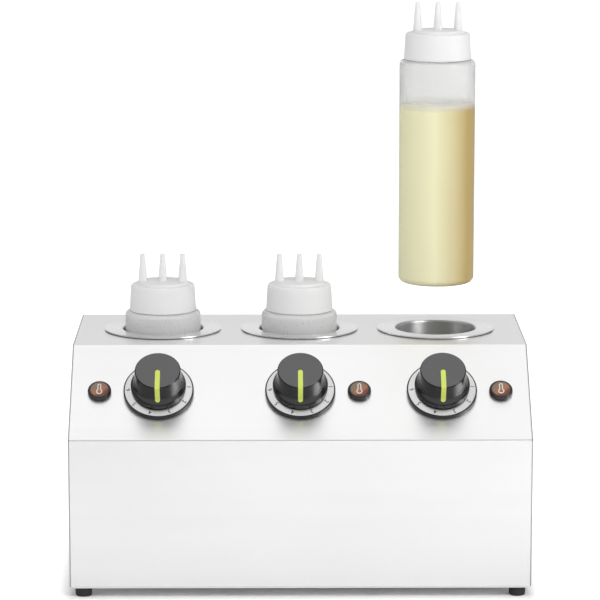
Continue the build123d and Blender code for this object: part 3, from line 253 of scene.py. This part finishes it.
def grained(name, dark, light, smooth, rough, scale, detail, relief=None, **sockets):
    """Metal whose colour and gloss follow one grain, and its height too if a relief is given."""
    metal = Shader(name, Metallic=1.0, **sockets)
    grain = metal.noise(scale, detail)
    metal.set(
        Base_Color=metal.mix(metal.span(grain, 0, 1), dark, light),
        Roughness=metal.span(grain, smooth, rough),
    )
    if relief:
        metal.set(Normal=metal.bump(grain, *relief))
    return metal


dress(
    brushed(
        "housing_steel", (0.952, 0.951, 0.953), ALONG_X, 0.36, spread=0.012, relief=0.15, smear=0.6
    ),
    "top_front_shell",
)
dress(brushed("panel_steel", (0.80, 0.81, 0.82), ALONG_X, 0.3, 0.03), "rear_panel", "base_plate")
dress(
    brushed("spring_steel", (0.60, 0.62, 0.64), (400, 400, 3000), 0.3, 0.05),
    "bulb_clips",
    "pilot_nuts",
)

# The side panels' cut edges stay dull. They are the faces that don't look sideways.
CUT_EDGE = (0.34, 0.345, 0.35)
side_steel = brushed("side_steel", (0.90, 0.905, 0.91), ALONG_Y, 0.22)
facing = side_steel.node(
    "SeparateXYZ", Vector=side_steel.node("NewGeometry").outputs["True Normal"]
).outputs["X"]
is_cut_edge = side_steel.math("LESS_THAN", side_steel.math("ABSOLUTE", facing), 0.5)
side_steel.set(Base_Color=side_steel.mix(is_cut_edge, side_steel.colour(), CUT_EDGE))
dress(side_steel, "left_side_panel", "right_side_panel")

# The wells are turned and polished on the flange, and duller inside.
WELL_INSIDE = 38.5 * MM  # the radius within which a well counts as its inside
WELL_FLANGE_COLOUR = (0.90, 0.905, 0.91)
WELL_INSIDE_COLOUR = (0.80, 0.80, 0.80)
WELL_INSIDE_DULLER = 0.18
for number in WELLS:
    well = f"well_{number}"
    middle = centre_of(well)
    steel = Shader(f"drawn_steel_{number}", Metallic=1.0, Anisotropic=0.7, Anisotropic_Rotation=0.25)
    spot = steel.parts((middle.x, middle.y, 0))
    radius = steel.length(spot["X"], spot["Y"])
    rings = steel.node(
        "CombineXYZ",
        X=steel.math("MULTIPLY", radius, FINE_BRUSHING),
        Z=steel.math("MULTIPLY", spot["Z"], FINE_BRUSHING),
    ).outputs[0]
    turned = steel.node("TexNoise", Vector=rings, Scale=1.0, Detail=3.0).outputs["Fac"]
    inside = steel.math("LESS_THAN", radius, WELL_INSIDE)
    steel.set(
        Base_Color=steel.mix(inside, WELL_FLANGE_COLOUR, WELL_INSIDE_COLOUR),
        Roughness=steel.sum(steel.span(turned, 0.2, 0.3), 1.0, inside, WELL_INSIDE_DULLER),
        Normal=steel.bump(turned, FINE_RELIEF, 0.4),
        Tangent=steel.node("Tangent", {"direction_type": "RADIAL", "axis": "Z"}).outputs[0],
    )
    dress(steel, well)

dress(
    grained(
        "zinc_steel", (0.60, 0.62, 0.64), (0.76, 0.77, 0.78), 0.24, 0.42, 900, 5.0, (COARSE_RELIEF, 0.3)
    ),
    "pan_screws",
    "foot_screws",
    "hex_nuts",
    "band_bolts",
)
dress(
    grained("shaft_brass", (0.66, 0.48, 0.20), (0.80, 0.62, 0.30), 0.2, 0.34, 2500, 2.0),
    *numbered("thermostat_shaft"),
)
dress(grained("copper_tube", (0.62, 0.30, 0.18), (0.85, 0.50, 0.34), 0.2, 0.4, 120, 4.0), "capillaries")

heat_tinted = Shader("heater_steel", Metallic=1.0)
stain = heat_tinted.noise((60, 60, 25), detail=4.0)
streaks = heat_tinted.noise((30, 30, 1800))
heat_tinted.set(
    Base_Color=heat_tinted.mix(heat_tinted.span(stain, 0, 1), (0.60, 0.60, 0.60), (0.62, 0.52, 0.38)),
    Roughness=heat_tinted.span(streaks, 0.26, 0.42),
    Normal=heat_tinted.bump(streaks, COARSE_RELIEF, 0.4),
)
dress(heat_tinted, *numbered("heater_band"))

# ---------------------------------------------------------------- plastics and rubbers

MOULD_GRAIN = 1400  # features per metre
MOULD_RELIEF = 0.00001


def moulded(name, colour, roughness, grain=MOULD_GRAIN, spread=0.12, depth=MOULD_RELIEF):
    """Moulded plastic or rubber with a fine grain in tone, gloss and height."""
    plastic = Shader(name)
    fine = plastic.noise(grain)
    cloud = plastic.noise(40, detail=2.0)
    tone = plastic.sum(fine, 0.5, cloud, 0.5)
    plastic.set(
        Base_Color=plastic.varied(tone, colour, spread),
        Roughness=plastic.around(tone, roughness, 0.12),
        Normal=plastic.bump(fine, depth, 0.5),
    )
    return plastic


# A knob's end face is satin, and its side is polished. The end face is also given a lighter grey than
# the side: painted light on the same black plastic.
KNOB_FACE_FROM = 31.95 * MM  # above the control slope
# painted light: the end face's grey is lighter than the side's black only for the light that falls on it
KNOB_FACE_WITH_PAINTED_LIGHT = (0.088, 0.088, 0.09)
KNOB_SIDE = (0.012, 0.012, 0.013)
KNOB_FACE_DULLER = 0.2
knob_black = Shader("knob_black")
knob_grain = knob_black.noise(MOULD_GRAIN)
knob_height = knob_black.node(
    "VectorMath", {"operation": "DOT_PRODUCT"}, Vector=knob_black.place(origin=FIRST_KNOB_PLACE)
)
knob_black.put(PANEL_NORMAL, knob_height.inputs[1])
on_face = knob_black.math("GREATER_THAN", knob_height.outputs["Value"], KNOB_FACE_FROM)
knob_black.set(
    Base_Color=knob_black.mix(on_face, KNOB_SIDE, KNOB_FACE_WITH_PAINTED_LIGHT),
    Roughness=knob_black.sum(knob_black.span(knob_grain, 0.15, 0.2), 1.0, on_face, KNOB_FACE_DULLER),
    Normal=knob_black.bump(knob_grain, MOULD_RELIEF, 0.5),
)
dress(knob_black, *numbered("knob"))
dress(moulded("pointer_green", (0.62, 0.72, 0.13), 0.34, spread=0.06), *numbered("knob_pointer"))
dress(moulded("bezel_black", (0.014, 0.014, 0.015), 0.3), *numbered("dial_bezel"))
dress(moulded("lamp_black", (0.02, 0.02, 0.021), 0.28), *numbered("pilot_housing"))
dress(moulded("foot_rubber", (0.02, 0.02, 0.02), 0.7, grain=900, depth=0.00006), "rubber_feet")
dress(moulded("gasket_rubber", (0.10, 0.10, 0.10), 0.6, grain=900), "well_gaskets", "gland_seal")
dress(
    moulded("gland_plastic", (0.03, 0.03, 0.03), 0.45, grain=1100, depth=0.00003),
    "gland_body",
    "gland_cap",
    "gland_locknut",
)
dress(
    moulded("thermostat_plastic", (0.74, 0.70, 0.58), 0.5, spread=0.06),
    "terminal_block",
    *numbered("thermostat"),
)
dress(moulded("wire_insulation", (0.72, 0.72, 0.69), 0.42, spread=0.05), "wiring")

# Woven glass fibre round the heaters
THREADS = 180.0  # the weave's scale
sleeve = Shader("glass_fibre", Roughness=0.85, Sheen_Weight=0.3)
threads = [
    sleeve.node(
        "TexWave",
        {"wave_type": "BANDS", "bands_direction": axis},
        Vector=sleeve.place(),
        Scale=THREADS,
    ).outputs["Fac"]
    for axis in ("Z", "X")
]
weave = sleeve.math("MULTIPLY", *threads)
sleeve.set(
    Base_Color=sleeve.mix(weave, (0.70, 0.67, 0.60), (0.90, 0.88, 0.82)),
    Normal=sleeve.bump(weave, 0.0004, 0.6),
)
dress(sleeve, *numbered("insulation_sleeve"))

# ---------------------------------------------------------------- meshes for what is printed


def curve_mesh(curve):
    """The mesh of a curve or a text."""
    shown = bpy.data.objects.new(curve.name, curve)
    bpy.context.scene.collection.objects.link(shown)
    bpy.context.view_layer.update()
    mesh = bpy.data.meshes.new_from_object(shown.evaluated_get(bpy.context.evaluated_depsgraph_get()))
    bpy.data.objects.remove(shown)
    return mesh


def joined(name, parts, shader):
    """One object from a list of (mesh, matrix), with a material."""
    vertices = []
    faces = []
    for mesh, matrix in parts:
        start = len(vertices)
        vertices += [matrix @ v.co for v in mesh.vertices]
        faces += [[start + i for i in p.vertices] for p in mesh.polygons]
    mesh = bpy.data.meshes.new(name)
    mesh.from_pydata(vertices, [], faces)
    mesh.materials.append(shader.material)
    made = bpy.data.objects.new(name, mesh)
    bpy.context.scene.collection.objects.link(made)
    return made


# ---------------------------------------------------------------- dials

DIAL_OUTER = 30.7 * MM
DIAL_OUTER_HEIGHT = 4.2 * MM
DIAL_SLOPE = 2.4 / 11.3  # the rise of the dial's cone over its width
NUMERAL_RADIUS = 27.6 * MM
NUMERAL_SIZE = 5.4 * MM
NUMERAL_BOLDER = 0.012  # how far the strokes are widened, as a share of the size
NUMERAL_PROUD = 0.06 * MM
FIRST_NUMERAL = 85.0  # degrees clockwise from the top
NUMERAL_STEP = 36.6
NUMERALS = [("0", 0.0)] + [(str(n), FIRST_NUMERAL + NUMERAL_STEP * (n - 1)) for n in range(1, 7)]

dress(
    grained(
        "dial_silver",
        (0.72, 0.72, 0.72),
        (0.86, 0.86, 0.86),
        0.26,
        0.4,
        2200,
        3.0,
        (FINE_RELIEF, 0.4),
        Anisotropic=0.5,
    ),
    *numbered("dial_plate"),
)
ink = moulded("numeral_ink", (0.03, 0.03, 0.03), 0.5)


def text_mesh(words):
    """The mesh of a line of text, centred on its own middle, with its thickness along Z."""
    curve = bpy.data.curves.new("words", "FONT")
    curve.body = words
    curve.size = NUMERAL_SIZE
    curve.extrude = NUMERAL_PROUD / 2
    curve.offset = NUMERAL_SIZE * NUMERAL_BOLDER
    curve.align_x = "CENTER"
    curve.align_y = "CENTER"
    return curve_mesh(curve)


def dial_place(x, clockwise):
    """The frame of a numeral on a dial's cone, its Y pointing outward from the knob's axis."""
    height = DIAL_OUTER_HEIGHT + (DIAL_OUTER - NUMERAL_RADIUS) * DIAL_SLOPE + NUMERAL_PROUD / 2
    turn = Matrix.Rotation(-radians(clockwise), 4, "Z")
    tilt = Matrix.Rotation(-atan2(DIAL_SLOPE, 1), 4, "X")
    return panel_matrix(x) @ turn @ Matrix.Translation((0, NUMERAL_RADIUS, height)) @ tilt


for number in WELLS:
    x = centre_of(f"dial_plate_{number}").x
    parts = [(text_mesh(numeral), dial_place(x, angle)) for numeral, angle in NUMERALS]
    numerals = joined(f"dial_numerals_{number}", parts, ink)
    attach(numerals, "housing")

# ---------------------------------------------------------------- pilot lamps

LENS_RADIUS = 8.1 * MM
LENS_RISE = 1.1 * MM
LENS_EDGE_HEIGHT = 4.6 * MM
DOME_RADIUS = (LENS_RADIUS**2 + LENS_RISE**2) / (2 * LENS_RISE)
LENS_CELLS = 900.0  # the lens's facets per metre
LENS_PAINTED_HIGHLIGHT = (0.205, 0.14, 0.105)  # the lens's colours, from its upper left to its lower right edge: a painted highlight, its own amber, then painted shade
AMBER = (0.38, 0.13, 0.035)
LENS_PAINTED_SHADE = (0.15, 0.022, 0.01)
FACET = (0.45, 0.20, 0.08)  # the middle of each facet
SIGN_PROUD = 0.14 * MM
SIGN_STEM = 1.75 * MM  # half width of the thermometer's stem
SIGN_BULB = 2.8 * MM
SIGN_TOP = 6.0 * MM
SIGN_BOTTOM = -3.2 * MM  # the bulb's centre
SIGN_LINE = 0.95 * MM
SIGN_STEPS = 20  # points round the bulb and along each side of the stem

for number in WELLS:
    lens = f"pilot_lens_{number}"
    amber = Shader(f"lens_amber_{number}", Roughness=0.12, Coat_Weight=0.3, Coat_Roughness=0.05)
    middle = centre_of(lens)
    spot = amber.parts(middle)
    # The lens's colour runs from a painted highlight at its upper left, through its own amber, to
    # painted shade at its lower right.
    painted_light_slope = amber.sum(spot["X"], 45.0, spot["Z"], -95.0)
    facets = amber.node(
        "TexVoronoi", {"feature": "F1"}, Vector=amber.place(origin=middle), Scale=LENS_CELLS
    ).outputs["Distance"]
    highlight_to_amber = amber.mix(amber.span(painted_light_slope, 0, 1, (-0.5, 0.3)), LENS_PAINTED_HIGHLIGHT, AMBER)
    lens_painted_light = amber.mix(amber.span(painted_light_slope, 0, 1, (0.08, 0.28)), highlight_to_amber, LENS_PAINTED_SHADE)
    amber.set(
        Base_Color=amber.mix(amber.span(facets, 0.3, 0.0, (0.0, 0.6)), lens_painted_light, FACET),
        Normal=amber.bump(facets, 0.0001, 0.2),
    )
    dress(amber, lens)

white_ink = moulded("sign_white", (0.74, 0.70, 0.62), 0.4, spread=0.04)


def thermometer_outline(stem, bulb, top):
    """The points of a thermometer's outline: a rounded stem on a round bulb."""
    meet = asin(stem / bulb)
    points = []
    for i in range(SIGN_STEPS + 1):
        angle = pi / 2 + meet + (2 * pi - 2 * meet) * i / SIGN_STEPS
        points.append((bulb * cos(angle), SIGN_BOTTOM + bulb * sin(angle)))
    foot = SIGN_BOTTOM + bulb * cos(meet)
    shoulder = top - stem
    side = [foot + (shoulder - foot) * i / SIGN_STEPS for i in range(1, SIGN_STEPS)]
    points += [(stem, height) for height in side]
    for i in range(SIGN_STEPS // 2 + 1):
        angle = pi * i / (SIGN_STEPS // 2)
        points.append((stem * cos(angle), shoulder + stem * sin(angle)))
    points += [(-stem, height) for height in reversed(side)]
    return points


def thermometer_mesh():
    """A thermometer drawn as an outline, as one flat curve made solid."""
    curve = bpy.data.curves.new("sign", "CURVE")
    curve.dimensions = "2D"
    curve.fill_mode = "BOTH"
    curve.extrude = SIGN_PROUD / 2
    for inset in (0.0, SIGN_LINE):
        points = thermometer_outline(SIGN_STEM - inset, SIGN_BULB - inset, SIGN_TOP - inset)
        spline = curve.splines.new("POLY")
        spline.points.add(len(points) - 1)
        for point, (u, v) in zip(spline.points, points):
            point.co = (u, v, 0, 1)
        spline.use_cyclic_u = True
    return curve_mesh(curve)


# Each sign follows its lens's dome.
sign_mesh = thermometer_mesh()
for number in WELLS:
    x = centre_of(f"pilot_lens_{number}").x
    sign = joined(f"lamp_sign_{number}", [(sign_mesh, Matrix.Identity(4))], white_ink)
    for vertex in sign.data.vertices:
        fall = DOME_RADIUS - sqrt(DOME_RADIUS**2 - vertex.co.x**2 - vertex.co.y**2)
        vertex.co.z += LENS_EDGE_HEIGHT + LENS_RISE - fall
    sign.data.transform(panel_matrix(x))
    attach(sign, "housing")

# ---------------------------------------------------------------- bottles, caps and sauce

MILKY_WHITE = (0.97, 0.97, 0.97)
FILLED_WHITE = (0.94, 0.94, 0.94)
CLEAR_ABOVE_SAUCE = 0.74  # the share of light that bottle 3's wall lets through above its sauce
CLEAR_AT_SAUCE = 0.2
SAUCE_PAINTED_SHADE = (-3.0 * MM, 29.0 * MM)  # from where to where, right of its middle, painted shade darkens the sauce
SAUCE_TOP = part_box("sauce_fill")[1].z
SAUCE_BLUR = (-2.0 * MM, 6.0 * MM)  # from below to above its top, how the sauce on the wall fades


def squeeze_plastic(name, colour, roughness, clear):
    """Milky polyethylene: partly clear, with faint flow marks."""
    milky = Shader(name, IOR=1.4, Transmission_Weight=clear)
    flow = milky.noise((90, 90, 14))
    fine = milky.noise(1200, detail=2.0)
    dark = [c * 0.99 for c in colour]
    milky.set(
        Base_Color=milky.mix(milky.span(flow, 0, 1), dark, colour),
        Roughness=milky.around(fine, roughness, 0.1),
        Normal=milky.bump(flow, 0.0002, 0.15),
    )
    return milky


def sauce_tone(shader, light, dark):
    """The sauce's colour, with painted shade darkening it at the right."""
    spot = shader.parts(centre_of("sauce_fill"))
    swirl = shader.noise((30, 30, 8))
    # painted shade: the colour darkens to the right of the sauce's middle, with a wavy edge
    shade = shader.math("ADD", spot["X"], shader.span(swirl, -1.5 * MM, 1.5 * MM))
    return shader.mix(shader.span(shade, 0, 1, SAUCE_PAINTED_SHADE), light, dark)


dress(squeeze_plastic("bottle_plastic", MILKY_WHITE, 0.3, 0.55), "bottle_1", "bottle_2")
dress(squeeze_plastic("cap_plastic", MILKY_WHITE, 0.4, 0.22), *numbered("cap"))

# Where sauce wets the plastic, its colour shows through the wall, with the sauce's painted shade at the
# right.
filled = squeeze_plastic("filled_bottle_plastic", FILLED_WHITE, 0.24, 0.0)
wet = filled.span(filled.parts()["Z"], 1.0, 0.0, [SAUCE_TOP + rise for rise in SAUCE_BLUR])
filled.set(
    Transmission_Weight=filled.span(wet, CLEAR_ABOVE_SAUCE, CLEAR_AT_SAUCE, (0.0, 1.0)),
    Base_Color=filled.mix(
        wet, filled.colour(), sauce_tone(filled, (0.98, 0.945, 0.63), (0.55, 0.405, 0.15))
    ),
)
dress(filled, "bottle_3")

sauce = Shader(
    "sauce",
    Roughness=0.35,
    Subsurface_Weight=0.25,
    Subsurface_Scale=0.01,
    Subsurface_Radius=(1.0, 0.8, 0.4),
)
# the sauce's own cream, with painted shade towards the right
sauce.set(Base_Color=sauce_tone(sauce, (0.99, 0.985, 0.9), (0.9, 0.85, 0.6)))
dress(sauce, "sauce_fill")

# ---------------------------------------------------------------- floor

FLOOR_HALF = 12.0
OWN_LIGHT_UNDER = 0.05  # the share of its white that the floor shows in shadow too, under the object
OWN_LIGHT_AWAY = 0.68  # the same share on the open floor
OWN_LIGHT_RISE = 0.05  # how far from the object it reaches that share, in metres
OWN_LIGHT_SIDEWAYS = 2.2  # how many times sooner it does so at the left and right
FLOOR_IN_METAL = (0.2, 0.32)  # the share that polished metal shows of it in front, left and right
MIRRORED_RISE = 0.2  # how far in front of the object it reaches that share, in metres

floor_mesh = bpy.data.meshes.new("floor")
corners = [(-1, -1), (1, -1), (1, 1), (-1, 1)]
floor_mesh.from_pydata([(x * FLOOR_HALF, y * FLOOR_HALF, 0) for x, y in corners], [], [(0, 1, 2, 3)])
floor = bpy.data.objects.new("floor", floor_mesh)
bpy.context.scene.collection.objects.link(floor)

paper = Shader("paper_floor", Base_Color=WHITE, Roughness=1.0, Specular_IOR_Level=0.0)
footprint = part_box("base_plate")
half = (footprint[1] - footprint[0]) / 2
ground = paper.parts((*centre_of("base_plate").xy, 0))
outside = [
    paper.math("MAXIMUM", paper.math("SUBTRACT", paper.math("ABSOLUTE", ground[i]), half[i]), 0.0)
    for i in (0, 1)
]
distance = paper.length(paper.math("MULTIPLY", outside[0], OWN_LIGHT_SIDEWAYS), outside[1])
own_light = paper.span(distance, OWN_LIGHT_UNDER, OWN_LIGHT_AWAY, (0.0, OWN_LIGHT_RISE))
mirrored_light = paper.math(
    "MULTIPLY",
    paper.span(ground["X"], *FLOOR_IN_METAL, (-half.x, half.x)),
    paper.span(ground["Y"], 1.0, 0.0, (-half.y - MIRRORED_RISE, -half.y)),
)
rays = paper.node("LightPath")
paper.set(
    Emission_Color=WHITE,
    Emission_Strength=paper.math(
        "ADD",
        paper.math("MULTIPLY", paper.seen_straight(rays), own_light),
        paper.math("MULTIPLY", rays.outputs["Is Glossy Ray"], mirrored_light),
    ),
)
floor_mesh.materials.append(paper.material)

# ---------------------------------------------------------------- world

WORLD_FILL = 0.5  # strength of the world on matt surfaces
# How bright polished metal sees the studio: from -1 behind the camera to 1 at the back wall
STUDIO_TONES = (
    (-1.0, 0.30),
    (-0.88, 0.32),
    (-0.65, 0.92),
    (0.0, 1.12),
    (0.40, 0.98),
    (0.62, 0.45),
    (0.82, 0.74),
    (1.0, 0.80),
)
STUDIO_SIDES = 0.35  # how bright it sees the studio far to the left and right, as a share
STUDIO_SIDES_FROM = (0.2, 0.7)  # from where to where, sideways, it falls to that share

world = bpy.data.worlds.new("studio")
bpy.context.scene.world = world
world.use_nodes = True
sky = NodeTree(world.node_tree)
sky.tree.nodes.clear()


def sky_mix(factor, first, second):
    made = sky.node("MixShader")
    for socket, value in zip(made.inputs, (factor, first.outputs[0], second.outputs[0])):
        sky.put(value, socket)
    return made


direction = sky.node("SeparateXYZ", Vector=sky.node("TexCoord").outputs["Generated"]).outputs
studio = sky.node("ValToRGB", Fac=sky.span(direction["Y"], 0.0, 1.0, (-1.0, 1.0)))
studio.color_ramp.interpolation = "EASE"
stops = studio.color_ramp.elements
for index, (place, tone) in enumerate(STUDIO_TONES):
    stop = stops[index] if index < 2 else stops.new(1.0)  # a ramp starts with two stops
    stop.position = (place + 1) / 2
    stop.color = (tone, tone, tone, 1)
sideways = sky.math("ABSOLUTE", direction["X"])
white_sky = sky.node("Background", Color=WHITE)
fill_sky = sky.node("Background", Color=WHITE, Strength=WORLD_FILL)
glossy_sky = sky.node(
    "Background",
    Color=studio.outputs["Color"],
    Strength=sky.span(sideways, 1.0, STUDIO_SIDES, STUDIO_SIDES_FROM, smooth=True),
)
sky_rays = sky.node("LightPath")
unseen = sky_mix(sky_rays.outputs["Is Glossy Ray"], fill_sky, glossy_sky)
whole_sky = sky_mix(sky.seen_straight(sky_rays), unseen, white_sky)
sky.node("OutputWorld", Surface=whole_sky.outputs[0])

# ---------------------------------------------------------------- lamps

AIM = Vector((0, -0.02, 0.17))  # the middle of the object


def softbox(name, place, width, height, power, mirrored=True):
    """A rectangular lamp that faces the object, in metres and watts. Gloss shows it if mirrored."""
    data = bpy.data.lights.new(name, "AREA")
    data.shape = "RECTANGLE"
    data.size = width
    data.size_y = height
    data.energy = power
    lamp = bpy.data.objects.new(name, data)
    lamp.location = place
    lamp.rotation_euler = (AIM - Vector(place)).to_track_quat("-Z", "Y").to_euler()
    lamp.visible_glossy = mirrored
    bpy.context.scene.collection.objects.link(lamp)


softbox("key", (1.5, -1.1, 1.0), 0.7, 1.2, 13)
softbox("side", (-1.6, -0.5, 0.7), 0.3, 1.2, 5, mirrored=False)
softbox("overhead", (0.1, -1.3, 1.7), 1.4, 0.7, 10, mirrored=False)
